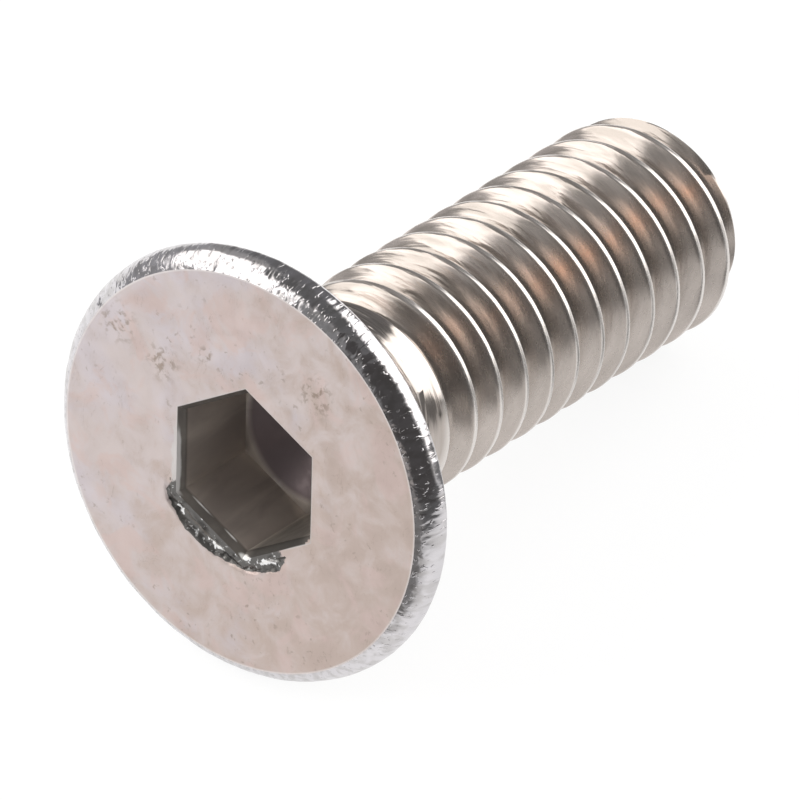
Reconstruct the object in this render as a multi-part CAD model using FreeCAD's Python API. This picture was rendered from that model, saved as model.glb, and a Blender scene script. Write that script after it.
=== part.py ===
import FreeCAD, Part
import math
import os

# Countersunk socket screw, M4 x 0.7, 90 degree head, lying on a flat surface.
# Sizes are in millimetres and angles in degrees.
# The screw is built upright: its axis is Z, the flat of the head is at Z = 0,
# the threaded end is above it, and +X is the side that faces up once it lies.

# Overall
screw_length = 11.65

# Head
rim_radius = 3.79
rim_shoulder_width = 0.27
rim_shoulder_height = 0.44
rim_land_height = 0.08
rim_edge_round = 0.15
countersink_angle = 90.0
neck_fillet = 0.35

# Plain neck between the head and the thread. It is a little thinner than the crests and
# widens to them over the first turn.
neck_step = 0.125
neck_length = 0.47
thread_lead_length = 0.80

# Thread, right hand. The middle of its groove first passes +X in the neck, a groove lead
# before the thread starts, and the groove fades in from there.
thread_pitch = 0.70
crest_radius = 1.925
crest_above_pitch_line = 0.205
flank_angle = 60.0
root_radius = 0.14
root_flats = 3
groove_lead = 0.36
fade_start_turn = 40.0
fade_length_turn = 160.0
groove_overcut = 0.04
points_per_turn = 12
winding_degree = 3
straight_degree = 1

# Threaded end
end_chamfer_length = 0.53
end_radius = 1.40

# Hexagon socket
socket_across_flats = 2.52
socket_mouth_across_flats = 2.72
socket_mouth_depth = 0.12
socket_depth = 1.72
socket_cone_angle = 120.0
socket_turn = 54.0
socket_offset = 0.09

# How far a cutting shape passes through the skin that it cuts
cut_margin = 0.3

up = FreeCAD.Vector(0, 0, 1)
countersink_half = math.radians(countersink_angle / 2.0)
flank_half = math.radians(flank_angle / 2.0)
face_radius = rim_radius - rim_shoulder_width
neck_radius = crest_radius - neck_step
cone_start_height = rim_shoulder_height + rim_land_height
cone_end_height = cone_start_height + (rim_radius - neck_radius) / math.tan(countersink_half)
thread_start_height = cone_end_height + neck_length
groove_middle_height = thread_start_height - groove_lead
pitch_radius = crest_radius - crest_above_pitch_line
sharp_root_radius = pitch_radius - thread_pitch / 4.0 / math.tan(flank_half)
fade_depth = crest_radius - sharp_root_radius


def point(radius, height):
    return FreeCAD.Vector(radius, 0.0, height)


def around(radius, turn, height):
    angle = math.radians(turn)
    return FreeCAD.Vector(radius * math.cos(angle), radius * math.sin(angle), height)


def line(start, end):
    return Part.LineSegment(start, end).toShape()


def arc(start, middle, end):
    return Part.Arc(start, middle, end).toShape()


def roundedCorner(before, corner, after, radius):
    # The start, middle and end of an arc that rounds a corner between two straight lines.
    back = (before - corner).normalize()
    ahead = (after - corner).normalize()
    half = back.getAngle(ahead) / 2.0
    reach = radius / math.tan(half)
    centre = corner + (back + ahead).normalize() * (radius / math.sin(half))
    middle = centre + (corner - centre).normalize() * radius
    return corner + back * reach, middle, corner + ahead * reach


def turned(edges):
    return Part.Face(Part.Wire(edges)).revolve(FreeCAD.Vector(), up, 360)


def hexagon(across_flats, height):
    corner_radius = across_flats / 2.0 / math.cos(math.radians(30.0))
    corners = [around(corner_radius, socket_turn + 60.0 * side, height) for side in range(6)]
    return Part.makePolygon(corners + corners[:1])


def makeBlank():
    # The turned outline, from the middle of the flat face round to the middle of the end.
    shoulder_radius = math.hypot(rim_shoulder_width, rim_shoulder_height) ** 2 / 2.0 / rim_shoulder_width
    shoulder_half_turn = math.asin(rim_shoulder_height / shoulder_radius) / 2.0
    shoulder_centre = rim_radius - shoulder_radius
    shoulder_start = point(face_radius, 0.0)
    shoulder_middle = point(shoulder_centre + shoulder_radius * math.cos(shoulder_half_turn),
                            rim_shoulder_height - shoulder_radius * math.sin(shoulder_half_turn))
    land_start = point(rim_radius, rim_shoulder_height)
    cone_start = point(rim_radius, cone_start_height)
    cone_end = point(neck_radius, cone_end_height)
    lead_start = point(neck_radius, thread_start_height)
    lead_end = point(crest_radius, thread_start_height + thread_lead_length)
    chamfer_start = point(crest_radius, screw_length - end_chamfer_length)
    end_edge = point(end_radius, screw_length)

    edge_start, edge_middle, edge_end = roundedCorner(land_start, cone_start, cone_end, rim_edge_round)
    neck_start, neck_middle, neck_end = roundedCorner(cone_start, cone_end, lead_start, neck_fillet)
    return turned([
        line(point(0.0, 0.0), shoulder_start),
        arc(shoulder_start, shoulder_middle, land_start),
        line(land_start, edge_start),
        arc(edge_start, edge_middle, edge_end),
        line(edge_end, neck_start),
        arc(neck_start, neck_middle, neck_end),
        line(neck_end, lead_start),
        line(lead_start, lead_end),
        line(lead_end, chamfer_start),
        line(chamfer_start, end_edge),
        line(end_edge, point(0.0, screw_length)),
        line(point(0.0, screw_length), point(0.0, 0.0)),
    ])


def windingPoles(radial, axial):
    # Control points of the helix that one corner of the groove's section follows, from
    # where the groove fades in at the neck to beyond the end. The curve runs a little
    # inside its control points, which the widening makes up for.
    step_turn = 360.0 / points_per_turn
    widening = 3.0 / (2.0 + math.cos(math.radians(step_turn)))
    climb = screw_length + thread_pitch - groove_middle_height
    steps = math.ceil((360.0 * climb / thread_pitch - fade_start_turn) / step_turn)
    poles = []
    for step in range(steps):
        turn = fade_start_turn + step * step_turn
        height = groove_middle_height + thread_pitch * turn / 360.0
        fade = max(0.0, 1.0 - step * step_turn / fade_length_turn)
        radius = (radial + fade_depth * fade ** 2) * widening
        poles.append(around(radius, turn, height + axial))
    return poles


def wound(start, end):
    # The surface that a straight stretch of the section sweeps as it winds.
    poles = [windingPoles(*start), windingPoles(*end)]
    spans = len(poles[0]) - winding_degree
    ends = [winding_degree + 1]
    knots = [float(knot) for knot in range(spans + 1)]
    surface = Part.BSplineSurface()
    surface.buildFromPolesMultsKnots(
        poles, [straight_degree + 1] * 2, ends + [1] * (spans - 1) + ends,
        [0.0, 1.0], knots, False, False, straight_degree, winding_degree)
    return surface


def splitByTurn(surface):
    # A face for each turn of the groove, laid end to end.
    last = surface.getVKnots()[-1]
    faces = []
    for first in range(0, int(last), points_per_turn):
        piece = surface.copy()
        piece.segment(0.0, 1.0, float(first), min(first + points_per_turn, last))
        faces.append(piece.toShape())
    return faces


def makeThreadGroove():
    # The section has two flanks and a round root of narrow flats, and it is closed
    # a little above the crest.
    top_radius = crest_radius + groove_overcut
    top_half = thread_pitch / 4.0 + (top_radius - pitch_radius) * math.tan(flank_half)
    root_centre = sharp_root_radius + root_radius / math.sin(flank_half)
    root_swing = math.pi / 2.0 - flank_half
    outline = [(top_radius, -top_half)]
    for flat in range(root_flats + 1):
        angle = root_swing * (2.0 * flat / root_flats - 1.0)
        outline.append((root_centre - root_radius * math.cos(angle), root_radius * math.sin(angle)))
    outline.append((top_radius, top_half))
    surfaces = [wound(start, end) for start, end in zip(outline, outline[1:] + outline[:1])]
    faces = [face for surface in surfaces for face in splitByTurn(surface)]
    for end in (0, -1):
        edges = [surface.vIso(surface.getVKnots()[end]).toShape() for surface in surfaces]
        faces.append(Part.Face(Part.Wire(edges)))
    shell = Part.Shell(faces)
    shell.sewShape()
    groove = Part.Solid(shell)
    if groove.Volume < 0.0:
        groove.reverse()
    return groove


def makeSocket():
    # The hexagon with its lead-in at the mouth and a cone at its floor.
    mouth_slope = (socket_mouth_across_flats - socket_across_flats) / socket_mouth_depth
    raised_flats = socket_mouth_across_flats + mouth_slope * cut_margin
    lead_in = Part.makeLoft([hexagon(raised_flats, -cut_margin),
                             hexagon(socket_across_flats, socket_mouth_depth)], True, True)
    hole = Part.Face(hexagon(socket_across_flats, 0.0)).extrude(up * socket_depth)
    floor_radius = socket_across_flats / 2.0
    cone_depth = floor_radius / math.tan(math.radians(socket_cone_angle / 2.0))
    floor_cone = Part.makeCone(floor_radius, 0.0, cone_depth, point(0.0, socket_depth), up)
    socket = hole.fuse([lead_in, floor_cone])
    socket.translate(FreeCAD.Vector(0.0, socket_offset, 0.0))
    return socket.removeSplitter()


def layDown(screw):
    # The screw rests on the rounded edge of its rim and on the last whole crest below it.
    edge_centre_radius = rim_radius - rim_edge_round
    edge_turn = math.pi / 2.0 - countersink_half
    edge_centre_height = cone_start_height - rim_edge_round * math.tan(edge_turn / 2.0)
    crest_flat_half = thread_pitch / 4.0 - (crest_radius - pitch_radius) * math.tan(flank_half)
    low_crest_height = groove_middle_height + thread_pitch + crest_flat_half
    room = screw_length - end_chamfer_length - low_crest_height
    contact_height = low_crest_height + thread_pitch * math.floor(room / thread_pitch)
    drop = edge_centre_radius - crest_radius
    reach = contact_height - edge_centre_height
    tilt = math.degrees(math.atan2(drop, reach) + math.asin(rim_edge_round / math.hypot(drop, reach)))
    screw.rotate(FreeCAD.Vector(), up, -90.0)
    screw.rotate(FreeCAD.Vector(), FreeCAD.Vector(1, 0, 0), -90.0 - tilt)
    box = screw.optimalBoundingBox(False, False)
    screw.translate(FreeCAD.Vector(0.0, -box.Center.y, -box.ZMin))


os.makedirs("parts", exist_ok=True)
screw = makeBlank().cut(makeThreadGroove()).cut(makeSocket()).Solids[0]
layDown(screw)
screw.exportStep("parts/screw.step")
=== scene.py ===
import math
import time

import bmesh
import bpy
from mathutils import Matrix, Vector, noise


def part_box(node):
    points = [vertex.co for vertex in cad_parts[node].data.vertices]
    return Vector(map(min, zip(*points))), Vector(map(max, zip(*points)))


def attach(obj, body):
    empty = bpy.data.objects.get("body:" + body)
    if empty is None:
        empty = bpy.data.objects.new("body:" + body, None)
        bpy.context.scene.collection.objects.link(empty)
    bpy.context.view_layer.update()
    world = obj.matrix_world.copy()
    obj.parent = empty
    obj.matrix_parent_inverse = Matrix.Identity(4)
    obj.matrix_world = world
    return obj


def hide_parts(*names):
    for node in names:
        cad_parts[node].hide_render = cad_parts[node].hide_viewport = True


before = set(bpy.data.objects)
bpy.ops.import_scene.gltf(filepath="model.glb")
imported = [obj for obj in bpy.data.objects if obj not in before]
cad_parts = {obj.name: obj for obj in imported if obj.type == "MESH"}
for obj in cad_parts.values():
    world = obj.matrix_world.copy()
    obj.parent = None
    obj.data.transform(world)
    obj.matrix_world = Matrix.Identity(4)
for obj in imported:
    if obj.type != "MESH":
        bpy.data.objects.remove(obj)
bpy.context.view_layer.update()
mm = 0.001
startTime = time.time()


def report(text):
    print(text, "at", round(time.time() - startTime, 1), "s")


# Small helpers for shapes

def mix(a, b, t):
    return a + (b - a) * t


def softStep(low, high, x):
    t = min(max((x - low) / (high - low), 0.0), 1.0)
    return t * t * (3.0 - 2.0 * t)


def softSpan(rise, fall, x):
    # 1 between two soft ends
    return softStep(*rise, x) * (1.0 - softStep(*fall, x))


def softMin(a, b, blend):
    # the smaller of two, with the corner between them rounded
    h = max(blend - abs(a - b), 0.0) / blend
    return min(a, b) - h * h * blend / 4.0


def bump(x, middle, width):
    # a smooth hill of height 1
    return math.exp(-((x - middle) / width) ** 2)


def turnOf(co):
    return math.degrees(math.atan2(co.y, co.x))


def apartFrom(turn, middle):
    # the shorter way round from one turn to another
    return (turn - middle + 180.0) % 360.0 - 180.0


def radiusOf(co):
    return math.hypot(co.x, co.y)


def outwardOf(co):
    return Vector((co.x, co.y, 0.0)).normalized()


def setRadius(vert, radius):
    now = radiusOf(vert.co)
    vert.co.x *= radius / now
    vert.co.y *= radius / now


def turned(angle, axis):
    return Matrix.Rotation(math.radians(angle), 3, axis)


def ofKind(parts, kind):
    return [part for part in parts if isinstance(part, kind)]


def lineOfPoints(bm, points):
    # a line of points given as (radius, height), ready to spin round the axis
    verts = [bm.verts.new((radius, 0.0, height)) for radius, height in points]
    return verts + [bm.edges.new(pair) for pair in zip(verts, verts[1:])]


def arcPoints(centreRadius, centreHeight, radius, startTurn, endTurn, count):
    points = []
    for step in range(count + 1):
        turn = math.radians(mix(startTurn, endTurn, step / count))
        points.append((centreRadius + radius * math.cos(turn), centreHeight + radius * math.sin(turn)))
    return points


def between(start, end, count):
    return [(mix(start[0], end[0], s / count), mix(start[1], end[1], s / count)) for s in range(1, count)]


# The screw is shaped upright in millimetres: the flat of its head is at height 0, the threaded
# end is above it, and turn 0 is the side that faces up once it lies.
screw = {
    "length": 11.65, "rimRadius": 3.79, "shoulderWidth": 0.27, "shoulderHeight": 0.44,
    "landHeight": 0.08, "edgeRound": 0.15, "neckFillet": 0.35, "neckStep": 0.125, "neckLength": 0.47,
    "leadLength": 0.80, "pitch": 0.70, "crestRadius": 1.925, "crestAbovePitchLine": 0.205,
    "crestSoftness": 0.062, "flankHalf": 30.0, "rootRadius": 0.14,
    "grooveLead": 0.36, "fadeStart": 40.0, "fadeLength": 160.0, "fadeMost": 1.6,
    "chamferLength": 0.53, "endRadius": 1.40,
    "socketFlats": 2.52, "mouthFlats": 2.72, "mouthDepth": 0.12, "socketDepth": 1.72,
    "socketConeHalf": 60.0, "socketTurn": 54.0, "socketOffset": 0.09,
    # the edge where the lead-in meets the walls is worn round: steps out and up from it
    "wornEdge": ((0.0, 0.030), (0.003, 0.006), (0.012, -0.010)),
    # the rings of the flat face are round from this radius outwards, and between the two radii
    # they move from the socket's middle to the screw's
    "hexFade": 2.2, "offsetFade": (1.6, 2.8),
    # head and shank join this high above the cone, with a strip of this height
    "joinAbove": 0.20, "joinGap": 0.03,
}
# How finely it is cut: segments round it, shares of a root and of a flank, heights round the
# edge of a crest, radii of the rings on the flat end, and steps along the head's outline
fineness = {
    "headSegments": 384, "threadSegments": 144,
    "rootShares": (0.25, 0.5, 0.75), "flankShares": (0.0, 0.3, 0.55),
    "crestMoves": (-0.052, -0.034, -0.018, -0.003, 0.012, 0.027, 0.042),
    "endRings": (1.25, 1.0, 0.7, 0.35, 0.1), "floorHole": 0.02,
    "floor": 8, "wall": 12, "leadIn": 4, "nearFace": 16, "nearFaceEnd": 1.95, "farFace": 14,
    "shoulder": 14, "edge": 6, "cone": 12, "fillet": 9,
}
hair = 0.001  # what is nearer than this is in the same place
sliver = 0.0003  # shorter edges are dissolved

faceRadius = screw["rimRadius"] - screw["shoulderWidth"]
neckRadius = screw["crestRadius"] - screw["neckStep"]
rimHeight = screw["shoulderHeight"] + screw["landHeight"]
coneEnd = rimHeight + screw["rimRadius"] - neckRadius
joinHeight = coneEnd + screw["joinAbove"]
threadStart = coneEnd + screw["neckLength"]
grooveMiddle = threadStart - screw["grooveLead"]
chamferStart = screw["length"] - screw["chamferLength"]
flankHalf = math.radians(screw["flankHalf"])
pitchRadius = screw["crestRadius"] - screw["crestAbovePitchLine"]
sharpRootRadius = pitchRadius - screw["pitch"] / 4.0 / math.tan(flankHalf)
rootCentre = sharpRootRadius + screw["rootRadius"] / math.sin(flankHalf)
tangentHalf = screw["rootRadius"] * math.cos(flankHalf)
tangentRadius = rootCentre - screw["rootRadius"] * math.sin(flankHalf)
crestHalf = screw["pitch"] / 4.0 + screw["crestAbovePitchLine"] * math.tan(flankHalf)
floorConeDepth = screw["socketFlats"] / 2.0 / math.tan(math.radians(screw["socketConeHalf"]))
# how far the rounding of a 45 degree corner reaches, for each unit of its radius
cornerReach = math.tan(math.radians(22.5))


def grooveRadius(offset):
    # how far from the axis the groove's skin is, at a height from the middle of the groove
    offset = abs(offset)
    if offset < tangentHalf:
        return rootCentre - math.sqrt(screw["rootRadius"] ** 2 - offset ** 2)
    return tangentRadius + (offset - tangentHalf) / math.tan(flankHalf)


def plainRadius(height):
    # the shank before its thread: neck, lead up to the crests, and the chamfered end
    if height > chamferStart:
        return screw["crestRadius"] - (height - chamferStart) / screw["chamferLength"] * (
            screw["crestRadius"] - screw["endRadius"])
    lead = min(max((height - threadStart) / screw["leadLength"], 0.0), 1.0)
    return mix(neckRadius, screw["crestRadius"], lead)


def threadRadius(co):
    # the groove climbs with the turn, and fades in over its first part
    turn = turnOf(co)
    rise = co.z - grooveMiddle - screw["pitch"] * turn / 360.0
    lap = round(rise / screw["pitch"])
    wound = turn + 360.0 * lap
    fade = 1.0 - (wound - screw["fadeStart"]) / screw["fadeLength"]
    fade = min(max(fade, 0.0), screw["fadeMost"])
    groove = grooveRadius(rise - lap * screw["pitch"])
    groove += (screw["crestRadius"] - sharpRootRadius) * fade ** 2
    return softMin(plainRadius(co.z), groove, screw["crestSoftness"])


def cutAcross(bm, height, clearAbove=False, clearBelow=False):
    bmesh.ops.bisect_plane(bm, geom=bm.verts[:] + bm.edges[:] + bm.faces[:], dist=hair / 2.0,
                           plane_co=(0, 0, height), plane_no=(0, 0, 1),
                           clear_outer=clearAbove, clear_inner=clearBelow)


def windThread(bm):
    # one pitch of the thread's outline is wound once round, and the laps are laid end to end
    pitch = screw["pitch"]
    half = [tangentHalf * share for share in fineness["rootShares"]]
    half += [mix(tangentHalf, crestHalf, share) for share in fineness["flankShares"]]
    half += [crestHalf + move for move in fineness["crestMoves"]]
    offsets = [-pitch / 2.0] + [-h for h in reversed(half)] + [0.0] + half + [pitch / 2.0]
    # it starts two laps low, and its seam lies over a corner of the socket as the head's does
    firstTurn = screw["socketTurn"] - 720.0
    firstHeight = grooveMiddle + pitch * firstTurn / 360.0
    laps = math.ceil((screw["length"] - firstHeight) / pitch) + 1
    line = lineOfPoints(bm, [(screw["crestRadius"], firstHeight + offset) for offset in offsets])
    bmesh.ops.rotate(bm, verts=bm.verts[:], cent=(0, 0, 0), matrix=turned(firstTurn, "Z"))
    bmesh.ops.spin(bm, geom=line, cent=(0, 0, 0), axis=(0, 0, 1), angle=math.radians(360.0),
                   dvec=(0, 0, pitch / fineness["threadSegments"]), steps=fineness["threadSegments"],
                   use_merge=False, use_duplicate=False)
    oneLap = bm.verts[:] + bm.edges[:] + bm.faces[:]
    for lap in range(1, laps):
        copied = bmesh.ops.duplicate(bm, geom=oneLap)["geom"]
        bmesh.ops.translate(bm, verts=ofKind(copied, bmesh.types.BMVert), vec=(0, 0, pitch * lap))
    bmesh.ops.remove_doubles(bm, verts=bm.verts[:], dist=hair / 2.0)
    cutAcross(bm, joinHeight, clearBelow=True)
    cutAcross(bm, chamferStart)
    cutAcross(bm, screw["length"], clearAbove=True)
    report("wound thread")


def closeEnd(bm):
    # the flat end is drawn in by rings and closed at its middle
    end = screw["length"] - hair
    edges = [e for e in bm.edges if e.is_boundary and e.verts[0].co.z > end]
    for radius in fineness["endRings"]:
        grown = bmesh.ops.extrude_edge_only(bm, edges=edges)["geom"]
        for vert in ofKind(grown, bmesh.types.BMVert):
            setRadius(vert, radius)
        edges = ofKind(grown, bmesh.types.BMEdge)
    middle = list(dict.fromkeys(vert for edge in edges for vert in edge.verts))
    bmesh.ops.pointmerge(bm, verts=middle, merge_co=(0, 0, screw["length"]))
    bmesh.ops.dissolve_degenerate(bm, edges=bm.edges[:], dist=sliver)


def buildShank():
    bm = bmesh.new()
    depth = bm.verts.layers.float.new("depth")
    fullDepth = screw["crestRadius"] - rootCentre + screw["rootRadius"]
    windThread(bm)
    for vert in bm.verts:
        if vert.co.z > screw["length"] - hair:
            setRadius(vert, screw["endRadius"])
        else:
            setRadius(vert, threadRadius(vert.co))
            vert[depth] = (plainRadius(vert.co.z) - radiusOf(vert.co)) / fullDepth
    closeEnd(bm)
    report("shaped thread")
    return bm


def headOutline():
    # from the middle of the socket's floor, over the flat face and the rim, to the neck
    rim, width, height = screw["rimRadius"], screw["shoulderWidth"], screw["shoulderHeight"]
    shoulderRadius = (width ** 2 + height ** 2) / 2.0 / width
    shoulderTurn = math.degrees(math.asin(height / shoulderRadius))
    shoulder = arcPoints(rim - shoulderRadius, height, shoulderRadius, -shoulderTurn, 0.0,
                         fineness["shoulder"])
    edge = arcPoints(rim - screw["edgeRound"], rimHeight - screw["edgeRound"] * cornerReach,
                     screw["edgeRound"], 0.0, 45.0, fineness["edge"])
    fillet = arcPoints(neckRadius + screw["neckFillet"], coneEnd + screw["neckFillet"] * cornerReach,
                       screw["neckFillet"], 225.0, 180.0, fineness["fillet"])
    cone = between(edge[-1], fillet[0], fineness["cone"])

    apothem, floor = screw["socketFlats"] / 2.0, screw["socketDepth"]
    mouth = (screw["mouthFlats"] / 2.0, 0.0)
    wallTop = (apothem, screw["mouthDepth"])
    shares = [k / fineness["floor"] for k in range(1, fineness["floor"] + 1)]
    rounds = [(apothem * share, floor + floorConeDepth * (1.0 - share)) for share in shares]
    wornEdge = [(apothem + out, screw["mouthDepth"] + up) for out, up in screw["wornEdge"]]
    walls = between((apothem, floor), wallTop, fineness["wall"]) + wornEdge
    walls += between(wallTop, mouth, fineness["leadIn"]) + [mouth]
    near = (fineness["nearFaceEnd"], 0.0)
    face = between(mouth, near, fineness["nearFace"]) + [near]
    face += between(near, (faceRadius, 0.0), fineness["farFace"])

    points = [(fineness["floorHole"], floor + floorConeDepth)] + rounds + [(apothem, floor - hair)]
    points += walls + face + shoulder + edge + cone + fillet + [(neckRadius, joinHeight)]
    return points, 1 + len(rounds), 2 + len(rounds) + len(walls)


def pastSide(co):
    # the turn from the middle of the nearest side of the hexagon
    return math.radians((turnOf(co) - screw["socketTurn"]) % 60.0 - 30.0)


def buildHead():
    bm = bmesh.new()
    points, wallRow, faceRow = headOutline()
    hexShare = bm.verts.layers.float.new("hexShare")
    mouthRadius = screw["mouthFlats"] / 2.0
    line = lineOfPoints(bm, points)
    for row, vert in enumerate(line[:len(points)]):
        if row >= faceRow:
            vert[hexShare] = 1.0 - softStep(mouthRadius, screw["hexFade"], points[row][0])
        elif row >= wallRow:
            vert[hexShare] = 1.0
    bmesh.ops.rotate(bm, verts=bm.verts[:], cent=(0, 0, 0), matrix=turned(screw["socketTurn"], "Z"))
    bmesh.ops.spin(bm, geom=line, cent=(0, 0, 0), axis=(0, 0, 1), angle=math.radians(360.0),
                   steps=fineness["headSegments"], use_merge=True, use_duplicate=False)
    # the rings near the socket are pressed to its hexagon and moved to its place
    for vert in bm.verts:
        radius, share = radiusOf(vert.co), vert[hexShare]
        inSocket = radius < mouthRadius + hair
        if share > 0.0:
            setRadius(vert, mix(radius, radius / math.cos(pastSide(vert.co)), share))
        if inSocket or (vert.co.z < hair and radius < screw["offsetFade"][1]):
            vert.co.y += screw["socketOffset"] * (1.0 - softStep(*screw["offsetFade"], radius))
    # the small hole at the middle of the floor is closed
    middle = [v for v in bm.verts if v.is_boundary and radiusOf(v.co) < 0.3]
    top = (0, screw["socketOffset"], screw["socketDepth"] + floorConeDepth)
    bmesh.ops.pointmerge(bm, verts=middle, merge_co=top)
    report("shaped head")
    return bm


# Marks of use and of tumbling with other screws, and painted highlights about the socket. Turns are in
# degrees: 180 faces down.
marks = {
    "faceWave": 0.002, "mouthLip": 0.008, "neckWave": 0.005, "crestRough": 0.003,
    "rimWrinkle": 0.008, "rimNick": 0.045,
    # nicks on the rim: turn and size
    "nicks": ((-17.0, 1.0), (-59.0, 0.7), (31.0, 0.4), (112.0, 0.5)),
    # the scrape below the socket: the turns over which it starts and ends, and its radii
    "scrapeRise": (126.0, 150.0), "scrapeFall": (228.0, 250.0),
    "scrapeInner": 1.50, "scrapeOuter": 1.76, "scrapeGroove": 0.055, "scrapeRidge": 0.030,
    # the pale strip along the socket's left side, and the painted highlight along the edge of its lead-in
    "stripRise": (222.0, 238.0), "stripFall": (270.0, 290.0),
    "edgeRise": (172.0, 180.0), "edgeFall": (222.0, 232.0),
    # a painted highlight in the lowest corner: turn, length round it, depth and strength
    "cornerSpot": (170.5, 0.11, 0.075, 1.1),
    # painted glints in the scrape: turn, distance from the axis, length, width and strength
    "glints": (
        (168.0, 1.53, 0.085, 0.045, 1.0), (190.0, 1.58, 0.22, 0.030, 0.75),
        (206.0, 1.67, 0.15, 0.022, 0.6), (150.0, 1.57, 0.20, 0.060, 0.75),
        (222.0, 1.60, 0.10, 0.035, 0.6),
    ),
    # the face is marked from this radius outwards, and the cone from the first height to the second
    "faceFrom": 1.3, "coneFrom": rimHeight + 0.2, "coneFully": rimHeight + 0.5,
    "leadInRadius": 1.6, "leadInDepth": screw["mouthDepth"] + 0.012,
}


def flatNoise(co, scale, layer, smoothness, octaves=3):
    # noise that is the same at all heights
    return noise.fractal(Vector((co.x * scale, co.y * scale, layer)), smoothness, 2.2, octaves)


def deepNoise(co, across, along, smoothness, octaves=3, gap=2.2):
    return noise.fractal(Vector((co.x * across, co.y * across, co.z * along)), smoothness, gap, octaves)


def neckNoise(co):
    return deepNoise(co, 1.3, 3.0, 0.7)


def scrapeAt(co):
    # how strongly the face is scraped: a crescent outside the socket's lower left side
    ragged = 0.04 * flatNoise(co, 3.0, 5.0, 0.7)
    along = softSpan(marks["scrapeRise"], marks["scrapeFall"], turnOf(co) % 360.0)
    outer = mix(marks["scrapeInner"], marks["scrapeOuter"], along) + ragged
    return along * (1.0 - softStep(outer - 0.05, outer + 0.03, radiusOf(co)))


def stripAt(co, out):
    ragged = 0.05 * flatNoise(co, 5.0, 2.0, 0.7)
    thin = softSpan(marks["stripRise"], marks["stripFall"], turnOf(co) % 360.0)
    return thin * (1.0 - softStep(0.05, 0.10, out + ragged))


def glintAt(co):
    brightest = 0.0
    for turn, radius, length, width, strength in marks["glints"]:
        apart = math.radians(apartFrom(turnOf(co), turn)) * radius
        brightest = max(brightest, strength * bump(apart, 0.0, length) * bump(radiusOf(co), radius, width))
    return brightest


def wearFace(vert, co, layers):
    # faint waves, a raised lip round the mouth, and the scrape with its groove and ridge
    local = co - Vector((0.0, screw["socketOffset"], 0.0))
    out = radiusOf(local) * math.cos(pastSide(local)) - screw["mouthFlats"] / 2.0
    edgeFade = 1.0 - softStep(faceRadius - 0.25, faceRadius, radiusOf(co))
    wave = noise.fractal(co * 0.9, 0.8, 2.1, 3) * marks["faceWave"] * edgeFade
    lip = -marks["mouthLip"] * bump(out, 0.26, 0.16)
    share = scrapeAt(co)
    rough = flatNoise(co, 5.0, 1.7, 0.6)
    chunk = flatNoise(co, 2.5, 8.1, 0.6, 2)
    groove = marks["scrapeGroove"] * bump(out, 0.24 + 0.05 * chunk, 0.11) * (0.9 + 0.7 * rough)
    ridge = marks["scrapeRidge"] * bump(out, 0.09 + 0.03 * chunk, 0.04) * (0.8 + rough)
    # a painted highlight along the mouth's edge
    mouthEdge = 0.5 * (1.0 - softStep(0.0, 0.035, out)) * (1.0 - share)
    vert[layers["scraped"]] = share
    # painted glints in the scrape
    vert[layers["glint"]] = share * (0.20 + glintAt(co))
    vert[layers["wearAndPaintedLight"]] = max(mouthEdge, stripAt(co, out))
    vert.co.z += wave + (1.0 - share) * lip + share * (groove - ridge)


def wearRim(vert, co):
    # small wrinkles along the axis, and nicks on the edge of the face
    amount = marks["rimWrinkle"] * deepNoise(co, 2.6, 1.2, 0.6, 2, 2.1) * softStep(0.0, 0.06, co.z)
    amount *= 1.0 - softStep(rimHeight - 0.04, rimHeight + 0.16, co.z)
    for turn, size in marks["nicks"]:
        apart = apartFrom(turnOf(co), turn)
        amount -= marks["rimNick"] * size * bump(apart, 0.0, 1.6) * bump(co.z, 0.05, 0.14)
    vert.co += outwardOf(co) * amount


def wearCone(vert, co):
    fade = softStep(marks["coneFrom"], marks["coneFully"], co.z)
    vert.co += outwardOf(co) * marks["neckWave"] * neckNoise(co) * fade


def wearAndHighlightLeadIn(vert, co, layers):
    # painted highlights along the edge between the lead-in and the walls and in the lowest corner, and the
    # pale strip
    glint, turn = layers["glint"], turnOf(co) % 360.0
    ragged = 0.75 + 0.5 * noise.fractal(co * 3.0, 0.7, 2.2, 2)
    if co.z > screw["mouthDepth"] - 0.02:
        vert[glint] = 0.55 * ragged * softSpan(marks["edgeRise"], marks["edgeFall"], turn)
    cornerTurn, length, depth, strength = marks["cornerSpot"]
    apart = math.radians(turn - cornerTurn) * radiusOf(co)
    vert[glint] = max(vert[glint], strength * bump(apart, 0.0, length) * bump(co.z, 0.0, depth))
    fade = 1.0 - softStep(0.03, 0.07, co.z + 0.03 * (ragged - 0.75))
    vert[layers["wearAndPaintedLight"]] = stripAt(co, 0.03) * fade


def wearHead(bm):
    layers = {name: bm.verts.layers.float.new(name) for name in ("scraped", "glint", "wearAndPaintedLight")}
    for vert in bm.verts:
        co = vert.co.copy()
        radius = radiusOf(co)
        if co.z < hair and marks["faceFrom"] < radius < faceRadius + hair:
            wearFace(vert, co, layers)
        elif radius > faceRadius and co.z < marks["coneFrom"]:
            wearRim(vert, co)
        elif marks["coneFrom"] < co.z < joinHeight + hair and radius > neckRadius - hair:
            wearCone(vert, co)
        elif radius < marks["leadInRadius"] and co.z < marks["leadInDepth"]:
            wearAndHighlightLeadIn(vert, co, layers)
    report("worn head")


def wearShank(bm):
    for vert in bm.verts:
        co = vert.co
        if co.z < screw["length"] - 0.01:
            high = softStep(pitchRadius, screw["crestRadius"], radiusOf(co))
            rough = marks["crestRough"] * deepNoise(co, 7.0, 4.0, 0.7) * high
            plain = 1.0 - softStep(threadStart, threadStart + 0.3, co.z)
            setRadius(vert, radiusOf(co) + mix(rough, marks["neckWave"] * neckNoise(co), plain))
    report("worn shank")


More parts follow.
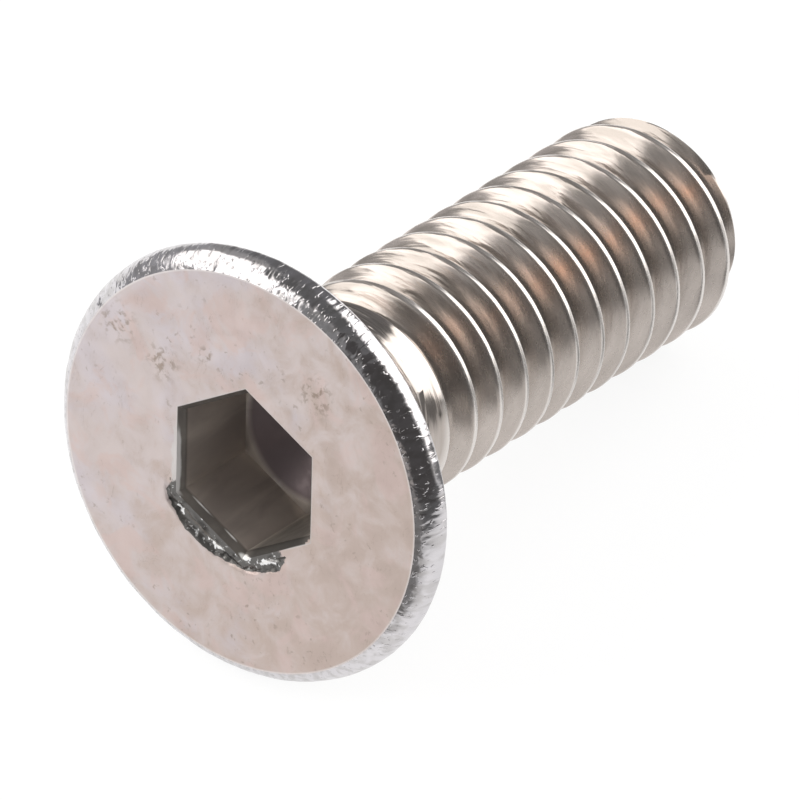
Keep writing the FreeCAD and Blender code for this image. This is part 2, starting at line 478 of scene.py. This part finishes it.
def weldRings(bm):
    # the head's last ring is lowered a little, and a strip of faces joins it to the shank's first
    rings = [e for e in bm.edges if e.is_boundary and abs(e.verts[0].co.z - joinHeight) < 0.01]
    for edge in rings:
        if edge.link_faces[0].calc_center_median().z < joinHeight:
            for vert in edge.verts:
                vert.co.z = joinHeight - screw["joinGap"]
    bmesh.ops.bridge_loops(bm, edges=rings)


# The metals by number, and where they meet on the upright screw: the socket's metal lies within
# a radius from each axis and between two heights, and the scrape's groove is left to the face
regions = {
    "face": 0, "rim": 1, "shank": 2, "socket": 3,
    "socketRadius": 1.66, "fromSocketAxis": 1.6, "socketHeights": (0.002, 2.6),
    "scrapeRadius": 1.58, "scrapeDepth": 0.11, "faceDepth": 0.12, "rimAbove": 0.03,
}


def placeRegions(bm):
    low, high = regions["socketHeights"]
    for face in bm.faces:
        centre = face.calc_center_median()
        radius = radiusOf(centre)
        fromAxis = radiusOf(centre - Vector((0, screw["socketOffset"], 0)))
        inGroove = centre.z < regions["scrapeDepth"] and radius > regions["scrapeRadius"]
        if radius < regions["socketRadius"] and low < centre.z < high and not inGroove:
            kind = "socket" if fromAxis < regions["fromSocketAxis"] else "face"
        elif centre.z < regions["faceDepth"] and radius < faceRadius:
            kind = "face"
        elif centre.z < rimHeight + regions["rimAbove"]:
            kind = "rim"
        else:
            kind = "shank"
        face.material_index = regions[kind]


def layDown(bm):
    # it comes to rest on the rounded edge of its rim and on its last whole crest
    edgeRadius = screw["rimRadius"] - screw["edgeRound"]
    edgeHeight = rimHeight - screw["edgeRound"] * cornerReach
    crestFlatHalf = screw["pitch"] / 4.0 - screw["crestAbovePitchLine"] * math.tan(flankHalf)
    lowCrest = grooveMiddle + screw["pitch"] + crestFlatHalf
    contact = lowCrest + screw["pitch"] * math.floor((chamferStart - lowCrest) / screw["pitch"])
    drop, reach = edgeRadius - screw["crestRadius"], contact - edgeHeight
    tilt = math.atan2(drop, reach) + math.asin(screw["edgeRound"] / math.hypot(drop, reach))
    rise = edgeRadius * math.cos(tilt) + edgeHeight * math.sin(tilt) + screw["edgeRound"]
    bmesh.ops.rotate(bm, cent=(0, 0, 0), verts=bm.verts[:], matrix=turned(-90.0, "Z"))
    bmesh.ops.rotate(bm, cent=(0, 0, 0), verts=bm.verts[:], matrix=turned(-90.0 - math.degrees(tilt), "X"))
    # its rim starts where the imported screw's does
    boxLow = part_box("screw")[0]
    along = boxLow[1] / mm - min(vert.co.y for vert in bm.verts)
    bmesh.ops.translate(bm, verts=bm.verts[:], vec=(0, along, rise))
    bmesh.ops.scale(bm, vec=(mm, mm, mm), verts=bm.verts[:])
    return tilt, along, rise


def shadeSurface(bm):
    # smooth all over, but for steep corners and the edge of the flat face
    for face in bm.faces:
        face.smooth = True
    for edge in bm.edges:
        angle = edge.calc_face_angle(0.0) if len(edge.link_faces) == 2 else 0.0
        kinds = {face.material_index for face in edge.link_faces}
        if angle > math.radians(32.0) or kinds == {regions["face"], regions["rim"]}:
            edge.smooth = False


def buildScrew():
    shankBm = buildShank()
    wearShank(shankBm)
    shankMesh = bpy.data.meshes.new("shankPart")
    shankBm.to_mesh(shankMesh)
    shankBm.free()
    bm = buildHead()
    wearHead(bm)
    bm.from_mesh(shankMesh)
    bpy.data.meshes.remove(shankMesh)
    weldRings(bm)
    placeRegions(bm)
    tilt, along, rise = layDown(bm)
    bmesh.ops.recalc_face_normals(bm, faces=bm.faces[:])
    shadeSurface(bm)
    triangles = sum(len(face.verts) - 2 for face in bm.faces)
    openEdges = [edge for edge in bm.edges if not edge.is_manifold]
    print("screw:", len(bm.verts), "points,", triangles, "triangles,", len(openEdges), "open edges")
    mesh = bpy.data.meshes.new("screwSkin")
    bm.to_mesh(mesh)
    bm.free()
    piece = bpy.data.objects.new("screwSkin", mesh)
    bpy.context.scene.collection.objects.link(piece)
    return piece, tilt, along, rise


report("start")
screwPiece, screwTilt, screwAlong, screwRise = buildScrew()
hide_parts("screw")
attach(screwPiece, "root")
report("built screw")


# Materials. Patterns read object coordinates, turned upright and counted in millimetres.

class Tree:
    # a short way to write a material's nodes
    def __init__(self, name):
        self.material = bpy.data.materials.new(name)
        self.material.use_nodes = True
        self.nodes = self.material.node_tree.nodes
        self.links = self.material.node_tree.links
        self.shader = self.nodes["Principled BSDF"]
        self.output = self.nodes["Material Output"]

    def add(self, kind, **settings):
        node = self.nodes.new(kind)
        for key, value in settings.items():
            setattr(node, key, value)
        return node

    def join(self, source, target):
        self.links.new(source, target)

    def put(self, value, target):
        # a number or a colour is written on the socket, and anything else is joined to it
        if isinstance(value, tuple):
            target.default_value = (*value, 1.0)
        elif isinstance(value, (int, float)):
            target.default_value = value
        else:
            self.join(value, target)


def uprightPlace(tree):
    place = tree.add("ShaderNodeTexCoord")
    turnBack = tree.add("ShaderNodeMapping", vector_type="TEXTURE")
    turnBack.inputs["Location"].default_value = (0.0, screwAlong * mm, screwRise * mm)
    # undoing a turn of -90 about Z, then one of -(90 + tilt) about X
    matrix = turned(-90.0 - math.degrees(screwTilt), "X") @ turned(-90.0, "Z")
    turnBack.inputs["Rotation"].default_value = matrix.to_euler("XYZ")
    turnBack.inputs["Scale"].default_value = (mm, mm, mm)
    tree.join(place.outputs["Object"], turnBack.inputs["Vector"])
    return turnBack.outputs["Vector"]


def stretched(tree, vector, scale):
    node = tree.add("ShaderNodeMapping")
    node.inputs["Scale"].default_value = scale
    tree.join(vector, node.inputs["Vector"])
    return node.outputs["Vector"]


def noiseOf(tree, vector, scale, detail, rough, distortion):
    node = tree.add("ShaderNodeTexNoise")
    node.inputs["Scale"].default_value = scale
    node.inputs["Detail"].default_value = detail
    node.inputs["Roughness"].default_value = rough
    node.inputs["Distortion"].default_value = distortion
    tree.join(vector, node.inputs["Vector"])
    return node.outputs["Fac"]


def drawnNoise(tree, vector, scales, detail, rough, distortion):
    # noise with a scale of its own along each axis
    return noiseOf(tree, stretched(tree, vector, scales), 1.0, detail, rough, distortion)


def ranged(tree, value, fromLow, fromHigh, toLow, toHigh):
    node = tree.add("ShaderNodeMapRange", interpolation_type="SMOOTHSTEP")
    for key, number in (("From Min", fromLow), ("From Max", fromHigh), ("To Min", toLow), ("To Max", toHigh)):
        node.inputs[key].default_value = number
    tree.join(value, node.inputs["Value"])
    return node.outputs["Result"]


def blend(tree, share, first, second, kind="RGBA"):
    node = tree.add("ShaderNodeMix", data_type=kind)
    tree.join(share, node.inputs["Factor"])
    tree.put(first, node.inputs["A"])
    tree.put(second, node.inputs["B"])
    return node.outputs["Result"]


def maths(tree, kind, *values):
    node = tree.add("ShaderNodeMath", operation=kind)
    for socket, value in zip(node.inputs, values):
        tree.put(value, socket)
    return node.outputs["Value"]


def product(tree, *values):
    result = values[0]
    for value in values[1:]:
        result = maths(tree, "MULTIPLY", result, value)
    return result


def raised(tree, height, distance, strength=1.0, below=None):
    node = tree.add("ShaderNodeBump")
    node.inputs["Distance"].default_value = distance * mm
    node.inputs["Strength"].default_value = strength
    tree.join(height, node.inputs["Height"])
    if below:
        tree.join(below, node.inputs["Normal"])
    return node.outputs["Normal"]


def vectorMaths(tree, kind, vector, other=None):
    node = tree.add("ShaderNodeVectorMath", operation=kind)
    tree.join(vector, node.inputs[0])
    if other:
        node.inputs[1].default_value = other
    return node.outputs["Value"]


def axesOf(tree, vector):
    parts = tree.add("ShaderNodeSeparateXYZ")
    tree.join(vector, parts.inputs["Vector"])
    return parts.outputs["X"], parts.outputs["Y"], parts.outputs["Z"]


def turnAndRise(tree, place):
    # a turn of 0 looks from the head's side, and one of 90 from the right
    x, y, z = axesOf(tree, place)
    turn = maths(tree, "DEGREES", maths(tree, "ARCTAN2", x, product(tree, y, -1.0)))
    distance = vectorMaths(tree, "LENGTH", place)
    rise = maths(tree, "DEGREES", maths(tree, "ARCSINE", maths(tree, "DIVIDE", z, distance)))
    return turn, rise


def window(tree, value, middle, half, soft, wrapped=False):
    # 1 within half of the middle, and 0 beyond a soft edge
    apart = maths(tree, "SUBTRACT", value, middle)
    if wrapped:
        apart = maths(tree, "WRAP", apart, 180.0, -180.0)
    return ranged(tree, maths(tree, "ABSOLUTE", apart), half - soft / 2.0, half + soft / 2.0, 1.0, 0.0)


def attributeOf(tree, name):
    return tree.add("ShaderNodeAttribute", attribute_name=name).outputs["Fac"]


# Patterns are given as scale, or scales along the axes, detail, roughness and distortion
faceLook = {
    "pale": (0.64, 0.565, 0.55), "warm": (0.60, 0.50, 0.455), "cool": (0.65, 0.595, 0.62),
    "pink": (0.655, 0.53, 0.50), "stain": (0.32, 0.25, 0.20), "bare": (0.145, 0.14, 0.135),
    # colours for painted glints, painted highlights along the edges, and the rubbed pale strip
    "glint": (0.93, 0.93, 0.93), "edge": (0.80, 0.76, 0.75), "rubbedAndHighlit": (0.66, 0.63, 0.62),
    "metallic": 0.88, "rough": (0.42, 0.56), "bareRough": 0.30,
    "broad": (0.75, 5.0, 0.62, 0.3), "patches": (1.7, 6.0, 0.66, 0.5), "flecks": (7.0, 4.0, 0.6, 0.3),
    "chips": (14.0, 2.0, 0.5, 0.4), "hairs": ((1.4, 3.4, 1.0), 5.0, 0.5, 1.1),
    "blush": ((1.1, 1.1, 1.0), 4.0, 0.6, 0.8),
    # it grows cooler this way across the face
    "lean": (0.022, -0.050, 0.0),
    # groups of brown pits: x, y and size
    "pitGroups": ((1.65, -2.70, 0.40), (1.31, -1.75, 0.36), (1.80, -0.92, 0.18), (2.05, 1.30, 0.40)),
    "patchBump": (0.010, 0.5), "fleckBump": (0.003, 0.6),
}
rimLook = {
    "pale": (0.67, 0.65, 0.67), "dull": (0.56, 0.54, 0.545), "metallic": 1.0, "rough": (0.09, 0.18),
    "streaks": ((6.5, 6.5, 1.3), 1.5, 0.5, 0.3), "fine": ((14.0, 14.0, 3.0), 1.0, 0.5, 0.2),
    "streakBump": 0.017, "dentBump": 0.005,
}
# Turns are in degrees round the shank, from the side that faces up
shankLook = {
    # the root's and the shaded side's colours are painted shade, the warm one a painted reflection, and the
    # crest's partly a painted highlight
    "pale": (0.655, 0.59, 0.55), "dull": (0.47, 0.425, 0.39), "root": (0.41, 0.355, 0.315),
    "crest": (0.88, 0.84, 0.81), "wearAndPaintedLight": (0.36, 0.32, 0.29), "warmReflection": (0.76, 0.55, 0.44),
    "metallic": 0.86, "neckRough": 0.13, "threadRough": 0.155, "unmarkedRough": 0.11,
    # where the drawn marks, the painted shade and the painted warm reflection lie: turn, half width, soft
    # edge
    "markedSide": (-50.0, 65.0, 40.0), "shadedSide": (72.0, 16.0, 30.0), "warmReflectionSide": (40.0, 6.0, 30.0),
    "drawn": ((0.9, 0.9, 10.0), 2.5, 0.5, 0.3), "fine": ((5.0, 5.0, 26.0), 3.0, 0.6, 0.2),
    "blotch": ((1.4, 1.4, 0.9), 2.0, 0.5, 0.2), "coneStreaks": ((6.0, 6.0, 1.1), 2.0, 0.5, 0.4),
    "drawnBump": 0.026, "coneBump": 0.010, "fineBump": (0.0002, 0.6),
}
socketLook = {
    # the floor's colour is a painted shade
    "pale": (0.60, 0.54, 0.485), "dull": (0.45, 0.40, 0.365), "floor": (0.17, 0.135, 0.14),
    # colours for the lower-right wall's painted shade, the painted highlights, and the rubbed pale strip
    "paintedShade": (0.085, 0.080, 0.072), "glint": (0.95, 0.94, 0.92), "wearAndPaintedLight": (0.62, 0.60, 0.59),
    "metallic": 0.6, "rough": (0.30, 0.42), "mouthShade": 0.28,
    # painted shade on the wall at the lower right: turn, half width and soft edge, and its share
    "paintedShadeSide": (144.0, 27.0, 14.0), "paintedShadeShare": 0.75,
    "drawn": ((1.6, 1.6, 0.4), 4.0, 0.55, 0.4), "fine": ((8.0, 8.0, 2.5), 3.0, 0.6, 0.2),
    "drawnBump": (0.008, 0.4), "fineBump": (0.0010, 0.4),
}


def faceTint(tree, place, broad, patches):
    # the upper left is paler and cooler, the lower right warmer
    lean = vectorMaths(tree, "DOT_PRODUCT", place, faceLook["lean"])
    warmth = ranged(tree, maths(tree, "SUBTRACT", patches, lean), 0.36, 0.70, 0.0, 1.0)
    tint = blend(tree, warmth, faceLook["pale"], faceLook["warm"])
    cool = ranged(tree, maths(tree, "ADD", broad, product(tree, lean, 0.7)), 0.48, 0.72, 0.0, 0.9)
    tint = blend(tree, cool, tint, faceLook["cool"])
    blush = ranged(tree, drawnNoise(tree, place, *faceLook["blush"]), 0.50, 0.64, 0.0, 0.75)
    return blend(tree, blush, tint, faceLook["pink"])


def pitStain(tree, flat, flecks, broad):
    # brown pits in a few groups, and fewer and fainter ones elsewhere
    stain = None
    for x, y, size in faceLook["pitGroups"]:
        apart = vectorMaths(tree, "DISTANCE", flat, (x, y, 0.0))
        spot = ranged(tree, apart, size * 0.3, size * 1.3, 0.72, 0.0)
        stain = spot if stain is None else maths(tree, "MAXIMUM", stain, spot)
    stain = product(tree, stain, ranged(tree, flecks, 0.48, 0.62, 0.0, 1.0))
    faint = ranged(tree, flecks, 0.60, 0.68, 0.0, 0.5)
    scattered = product(tree, faint, ranged(tree, broad, 0.45, 0.6, 0.0, 1.0))
    return maths(tree, "MAXIMUM", stain, scattered)


def makeFaceMetal():
    tree = Tree("mottledFace")
    place = uprightPlace(tree)
    flat = stretched(tree, place, (1.0, 1.0, 0.0))
    broad = noiseOf(tree, place, *faceLook["broad"])
    patches = noiseOf(tree, place, *faceLook["patches"])
    flecks = noiseOf(tree, place, *faceLook["flecks"])
    chips = noiseOf(tree, place, *faceLook["chips"])
    hairs = drawnNoise(tree, place, *faceLook["hairs"])
    tint = faceTint(tree, place, broad, patches)
    # brown pits, and faint hair lines
    stain = pitStain(tree, flat, flecks, broad)
    hairLine = maths(tree, "ABSOLUTE", maths(tree, "SUBTRACT", hairs, 0.5))
    hairLine = ranged(tree, hairLine, 0.0, 0.006, 0.35, 0.0)
    hairLine = product(tree, hairLine, ranged(tree, patches, 0.48, 0.60, 0.0, 1.0))
    tint = blend(tree, maths(tree, "MAXIMUM", stain, hairLine), tint, faceLook["stain"])
    # painted highlights pale the edge of the face and of the socket's mouth; the pale strip and scattered
    # chips are rubbed
    radius = vectorMaths(tree, "LENGTH", flat)
    edge = ranged(tree, radius, faceRadius - 0.040, faceRadius - 0.012, 0.0, 0.7)
    tint = blend(tree, edge, tint, faceLook["edge"])
    wearAndPaintedLight = maths(tree, "ADD", attributeOf(tree, "wearAndPaintedLight"), product(tree, chips, 0.3))
    tint = blend(tree, ranged(tree, wearAndPaintedLight, 0.25, 0.75, 0.0, 0.9), tint, faceLook["rubbedAndHighlit"])
    # the scrape is bare metal, with painted glints
    ragged = product(tree, maths(tree, "SUBTRACT", flecks, 0.5), 0.9)
    ragged = maths(tree, "ADD", attributeOf(tree, "scraped"), ragged)
    bare = ranged(tree, ragged, 0.42, 0.56, 0.0, 1.0)
    tint = blend(tree, bare, tint, faceLook["bare"])
    glint = attributeOf(tree, "glint")
    bright = maths(tree, "ADD", glint, product(tree, maths(tree, "SUBTRACT", chips, 0.5), 1.6))
    bright = ranged(tree, bright, 0.36, 0.62, 0.0, 1.0)
    bright = product(tree, bright, ranged(tree, glint, 0.04, 0.12, 0.0, 1.0))
    tint = blend(tree, bright, tint, faceLook["glint"])
    tree.put(tint, tree.shader.inputs["Base Color"])
    tree.put(ranged(tree, bare, 0.0, 1.0, faceLook["metallic"], 1.0), tree.shader.inputs["Metallic"])
    matte = ranged(tree, patches, 0.3, 0.7, *faceLook["rough"])
    rough = blend(tree, bare, matte, faceLook["bareRough"], "FLOAT")
    tree.put(rough, tree.shader.inputs["Roughness"])
    normal = raised(tree, patches, *faceLook["patchBump"])
    pitted = maths(tree, "SUBTRACT", flecks, product(tree, stain, 0.5))
    normal = raised(tree, pitted, *faceLook["fleckBump"], normal)
    tree.put(normal, tree.shader.inputs["Normal"])
    return tree.material


def makeRimMetal():
    tree = Tree("tumbledRim")
    place = uprightPlace(tree)
    streaks = drawnNoise(tree, place, *rimLook["streaks"])
    fine = drawnNoise(tree, place, *rimLook["fine"])
    dents = ranged(tree, fine, 0.60, 0.70, 0.0, 1.0)
    tint = blend(tree, ranged(tree, streaks, 0.35, 0.6, 0.0, 1.0), rimLook["dull"], rimLook["pale"])
    tree.put(tint, tree.shader.inputs["Base Color"])
    tree.put(rimLook["metallic"], tree.shader.inputs["Metallic"])
    tree.put(ranged(tree, fine, 0.3, 0.7, *rimLook["rough"]), tree.shader.inputs["Roughness"])
    normal = raised(tree, streaks, rimLook["streakBump"])
    normal = raised(tree, dents, rimLook["dentBump"], 1.0, normal)
    tree.put(normal, tree.shader.inputs["Normal"])
    return tree.material


def makeShankMetal():
    tree = Tree("rolledThread")
    place = uprightPlace(tree)
    x, y, height = axesOf(tree, place)
    side = maths(tree, "DEGREES", maths(tree, "ARCTAN2", y, x))
    thread = ranged(tree, height, threadStart + 0.05, threadStart + 0.30, 0.0, 1.0)
    depth = attributeOf(tree, "depth")
    drawn = drawnNoise(tree, place, *shankLook["drawn"])
    fine = drawnNoise(tree, place, *shankLook["fine"])
    # the drawn marks are strong on one side, and faint elsewhere
    marked = product(tree, window(tree, side, *shankLook["markedSide"], True), 0.82)
    marked = maths(tree, "ADD", marked, 0.18)
    streak = product(tree, maths(tree, "SUBTRACT", drawn, 0.5), marked)
    tint = blend(tree, ranged(tree, streak, -0.12, 0.12, 0.0, 1.0), shankLook["dull"], shankLook["pale"])
    # painted shade darkens the side turned about 72 degrees
    wearAndPaintedLight = product(tree, window(tree, side, *shankLook["shadedSide"]), 0.5)
    tint = blend(tree, wearAndPaintedLight, tint, shankLook["wearAndPaintedLight"])
    # a painted warm reflection runs along one side of the thread, and painted shade darkens its root
    warmReflection = window(tree, side, *shankLook["warmReflectionSide"])
    blotch = drawnNoise(tree, place, *shankLook["blotch"])
    warmReflection = product(tree, warmReflection, ranged(tree, blotch, 0.34, 0.60, 0.35, 1.0),
                    ranged(tree, height, chamferStart - 0.4, chamferStart, 1.0, 0.0), thread)
    tint = blend(tree, warmReflection, tint, shankLook["warmReflection"])
    # painted shade darkens the thread's root
    deep = product(tree, ranged(tree, depth, 0.55, 1.0, 0.0, 1.0), thread)
    tint = blend(tree, deep, tint, shankLook["root"])
    # the crests are rubbed pale and painted as highlights, most where the marks are faint
    crest = product(tree, ranged(tree, depth, 0.0, 0.05, 0.75, 0.0), thread,
                    ranged(tree, marked, 0.3, 1.0, 1.0, 0.15))
    tint = blend(tree, crest, tint, shankLook["crest"])
    tree.put(tint, tree.shader.inputs["Base Color"])
    tree.put(ranged(tree, thread, 0.0, 1.0, 1.0, shankLook["metallic"]), tree.shader.inputs["Metallic"])
    rough = ranged(tree, thread, 0.0, 1.0, shankLook["neckRough"], shankLook["threadRough"])
    rough = maths(tree, "ADD", rough, ranged(tree, fine, 0.3, 0.7, -0.02, 0.03))
    unmarked = ranged(tree, marked, 0.0, 1.0, shankLook["unmarkedRough"], 0.0)
    rough = maths(tree, "ADD", rough, product(tree, thread, unmarked))
    tree.put(rough, tree.shader.inputs["Roughness"])
    # the cone was turned and tumbled, and its streaks run from the rim to the neck
    cone = drawnNoise(tree, place, *shankLook["coneStreaks"])
    cone = product(tree, cone, ranged(tree, height, coneEnd - 0.5, coneEnd + 0.1, 1.0, 0.0))
    normal = raised(tree, streak, shankLook["drawnBump"])
    normal = raised(tree, cone, shankLook["coneBump"], 1.0, normal)
    normal = raised(tree, fine, *shankLook["fineBump"], normal)
    tree.put(normal, tree.shader.inputs["Normal"])
    return tree.material


def makeSocketMetal():
    tree = Tree("punchedSocket")
    place = uprightPlace(tree)
    x, y, height = axesOf(tree, place)
    drawn = drawnNoise(tree, place, *socketLook["drawn"])
    fine = drawnNoise(tree, place, *socketLook["fine"])
    tint = blend(tree, ranged(tree, drawn, 0.35, 0.65, 0.0, 1.0), socketLook["dull"], socketLook["pale"])
    # painted shade darkens the socket's floor
    floor = ranged(tree, height, screw["socketDepth"] - 0.02, screw["socketDepth"] + 0.06, 0.0, 1.0)
    tint = blend(tree, floor, tint, socketLook["floor"])
    # painted shade darkens the wall at the lower right
    across = maths(tree, "SUBTRACT", y, screw["socketOffset"])
    side = maths(tree, "DEGREES", maths(tree, "ARCTAN2", across, x))
    shadedWall = product(tree, window(tree, side, *socketLook["paintedShadeSide"], True), socketLook["paintedShadeShare"])
    tint = blend(tree, shadedWall, tint, socketLook["paintedShade"])
    # painted shade darkens the lead-in; painted highlights brighten its edge and the lowest corner, and the
    # pale strip is rubbed
    mouth = screw["mouthDepth"]
    shade = ranged(tree, height, mouth - 0.01, mouth + 0.05, socketLook["mouthShade"], 1.0)
    dark = tree.add("ShaderNodeVectorMath", operation="SCALE")
    tree.join(tint, dark.inputs[0])
    tree.join(shade, dark.inputs["Scale"])
    bright = ranged(tree, attributeOf(tree, "glint"), 0.30, 0.70, 0.0, 1.0)
    rubbedAndHighlit = ranged(tree, attributeOf(tree, "wearAndPaintedLight"), 0.2, 0.8, 0.0, 0.9)
    tint = blend(tree, rubbedAndHighlit, dark.outputs["Vector"], socketLook["wearAndPaintedLight"])
    tree.put(blend(tree, bright, tint, socketLook["glint"]), tree.shader.inputs["Base Color"])
    tree.put(socketLook["metallic"], tree.shader.inputs["Metallic"])
    tree.put(ranged(tree, fine, 0.3, 0.7, *socketLook["rough"]), tree.shader.inputs["Roughness"])
    normal = raised(tree, drawn, *socketLook["drawnBump"])
    normal = raised(tree, fine, *socketLook["fineBump"], normal)
    tree.put(normal, tree.shader.inputs["Normal"])
    return tree.material


for makeMetal in (makeFaceMetal, makeRimMetal, makeShankMetal, makeSocketMetal):
    screwPiece.data.materials.append(makeMetal())
report("made metals")


# Floor, room, light and camera

stageLook = {
    "floorSide": 2.0, "floorColour": (0.86, 0.86, 0.86), "floorRough": 0.9, "paper": (1.0, 1.0, 1.0),
    "cameraGlow": 0.84, "mirrorGlow": 0.64, "floorWhite": 1.045, "clothAndShadowSoft": 20.0,
    "roomLight": 0.62, "domeRadius": 0.080, "domeColour": (0.40, 0.395, 0.39),
}
# What the metal shows of the room, soft boxes and dark cards, each over those before it: turn
# and rise of the middle, half the width, half the height and the softness of the edges in
# degrees, and the colour
roomParts = (
    (-157.0, 46.0, 28.0, 32.0, 14.0, (0.19, 0.19, 0.195)),
    (-92.0, 8.0, 36.0, 14.0, 12.0, (0.37, 0.37, 0.38)),
    (-62.0, 41.5, 44.0, 21.5, 8.0, (2.05, 2.00, 1.94)),
    (0.0, 27.0, 22.0, 29.0, 14.0, (0.28, 0.28, 0.28)),
    (61.0, 28.0, 47.0, 38.0, 14.0, (0.085, 0.081, 0.080)),
    (10.0, -1.0, 20.0, 14.0, 12.0, (0.45, 0.42, 0.40)),
    (146.0, 34.0, 31.0, 35.0, 10.0, (2.50, 2.46, 2.40)),
    (128.0, 0.0, 14.0, 6.0, 8.0, (0.25, 0.25, 0.25)),
    (-175.0, -2.0, 18.0, 11.0, 12.0, (1.80, 1.78, 1.75)),
    (0.0, 90.0, 181.0, 26.0, 12.0, (0.15, 0.15, 0.15)),
)
# Cloths on the floor and a painted shadow, which only the metal shows: turn of the middle and half
# the width in degrees, how far out they start and are fully dark in metres, and the colour
floorClothsAndShadow = (
    (57.0, 58.0, 0.008, 0.024, (0.12, 0.12, 0.12)),
    (28.0, 16.0, 0.0072, 0.0100, (0.22, 0.215, 0.21)),
    # a painted shadow: the head's shadow on the floor right of the neck
    (129.0, 15.0, 0.002, 0.006, (0.22, 0.22, 0.22)),
)
# Lamps, which the metal doesn't show: turn, rise, distance, size, power and colour
lamps = {
    "leftSoftbox": (-60.0, 30.0, 0.25, (0.30, 0.20), 0.74, (1.0, 0.97, 0.93)),
    "backSoftbox": (159.0, 40.0, 0.30, (0.32, 0.26), 0.60, (1.0, 1.0, 1.0)),
}


def direction(turn, rise):
    turn, rise = math.radians(turn), math.radians(rise)
    return Vector((math.sin(turn) * math.cos(rise), -math.cos(turn) * math.cos(rise), math.sin(rise)))


def stagePiece(name, bm):
    mesh = bpy.data.meshes.new(name)
    bm.to_mesh(mesh)
    bm.free()
    piece = bpy.data.objects.new(name, mesh)
    bpy.context.scene.collection.objects.link(piece)
    return piece


def makeFloor():
    bm = bmesh.new()
    bmesh.ops.create_grid(bm, x_segments=1, y_segments=1, size=stageLook["floorSide"] / 2.0)
    piece = stagePiece("paleFloor", bm)
    tree = Tree("whitePaper")
    tree.put(stageLook["floorColour"], tree.shader.inputs["Base Color"])
    tree.put(stageLook["floorRough"], tree.shader.inputs["Roughness"])
    tree.put(0.0, tree.shader.inputs["Specular IOR Level"])
    path = tree.add("ShaderNodeLightPath")
    mirrored = maths(tree, "MAXIMUM", path.outputs["Is Glossy Ray"], path.outputs["Is Transmission Ray"])
    place = tree.add("ShaderNodeTexCoord").outputs["Object"]
    turn, rise = turnAndRise(tree, place)
    distance = vectorMaths(tree, "LENGTH", place)
    paper = stageLook["paper"]
    share = product(tree, mirrored, stageLook["mirrorGlow"])
    for middle, wide, start, end, colour in floorClothsAndShadow:
        hidden = product(tree, window(tree, turn, middle, wide, stageLook["clothAndShadowSoft"], True),
                         ranged(tree, distance, start, end, 0.0, 1.0), mirrored)
        paper = blend(tree, hidden, paper, colour)
        share = maths(tree, "MAXIMUM", share, hidden)
    seen = product(tree, path.outputs["Is Camera Ray"], stageLook["cameraGlow"])
    share = maths(tree, "MAXIMUM", share, seen)
    glow = tree.add("ShaderNodeEmission")
    tree.put(stageLook["floorWhite"], glow.inputs["Strength"])
    tree.join(paper, glow.inputs["Color"])
    both = tree.add("ShaderNodeMixShader")
    tree.join(share, both.inputs[0])
    tree.join(tree.shader.outputs[0], both.inputs[1])
    tree.join(glow.outputs[0], both.inputs[2])
    tree.join(both.outputs[0], tree.output.inputs["Surface"])
    piece.data.materials.append(tree.material)


def makeDome():
    # the room that the metal mirrors
    bm = bmesh.new()
    bmesh.ops.create_uvsphere(bm, u_segments=64, v_segments=32, radius=stageLook["domeRadius"])
    piece = stagePiece("mirroredRoom", bm)
    piece.visible_camera = False
    piece.visible_diffuse = False
    piece.visible_shadow = False
    tree = Tree("softBoxesAndCards")
    turn, rise = turnAndRise(tree, tree.add("ShaderNodeTexCoord").outputs["Object"])
    seen = stageLook["domeColour"]
    for middleTurn, middleRise, wide, high, soft, colour in roomParts:
        share = product(tree, window(tree, turn, middleTurn, wide, soft, True),
                        window(tree, rise, middleRise, high, soft))
        seen = blend(tree, share, seen, colour)
    glow = tree.add("ShaderNodeEmission")
    tree.join(seen, glow.inputs["Color"])
    tree.join(glow.outputs[0], tree.output.inputs["Surface"])
    piece.data.materials.append(tree.material)


def makeLamp(name, turn, rise, distance, size, power, colour):
    data = bpy.data.lights.new(name, "AREA")
    data.shape = "RECTANGLE"
    data.size, data.size_y = size
    data.energy = power
    data.color = colour
    lamp = bpy.data.objects.new(name, data)
    lamp.location = direction(turn, rise) * distance
    lamp.rotation_euler = direction(turn, rise).to_track_quat("Z", "Y").to_euler()
    lamp.visible_glossy = False
    bpy.context.scene.collection.objects.link(lamp)


def makeRoom():
    # white to the camera, and a soft even light on everything else
    world = bpy.data.worlds.new("softRoom")
    bpy.context.scene.world = world
    world.use_nodes = True
    nodes, links = world.node_tree.nodes, world.node_tree.links
    soft = nodes["Background"]
    soft.inputs["Color"].default_value = (1.0, 1.0, 1.0, 1.0)
    soft.inputs["Strength"].default_value = stageLook["roomLight"]
    white = nodes.new("ShaderNodeBackground")
    white.inputs["Strength"].default_value = 1.0
    path = nodes.new("ShaderNodeLightPath")
    both = nodes.new("ShaderNodeMixShader")
    links.new(path.outputs["Is Camera Ray"], both.inputs[0])
    links.new(soft.outputs[0], both.inputs[1])
    links.new(white.outputs[0], both.inputs[2])
    links.new(both.outputs[0], nodes["World Output"].inputs["Surface"])


# The photo's view: turn and rise of the camera, distance, lens and the point it looks at in
# millimetres
view = {"turn": 37.357, "rise": 40.014, "distance": 264.0, "lens": 725.6, "sensor": 36.0,
        "aim": (-0.348, -0.831, 2.014), "clip": (0.01, 10.0)}


def makeCamera():
    data = bpy.data.cameras.new("photoCamera")
    data.lens = view["lens"]
    data.sensor_width = view["sensor"]
    data.clip_start, data.clip_end = view["clip"]
    camera = bpy.data.objects.new("photoCamera", data)
    bpy.context.scene.collection.objects.link(camera)
    away = direction(view["turn"], view["rise"])
    camera.location = (Vector(view["aim"]) + away * view["distance"]) * mm
    camera.rotation_euler = away.to_track_quat("Z", "Y").to_euler()
    bpy.context.scene.camera = camera


makeFloor()
makeDome()
makeRoom()
for lampName, lampLook in lamps.items():
    makeLamp(lampName, *lampLook)
makeCamera()
bpy.context.scene.view_settings.view_transform = "Standard"
report("set the stage")
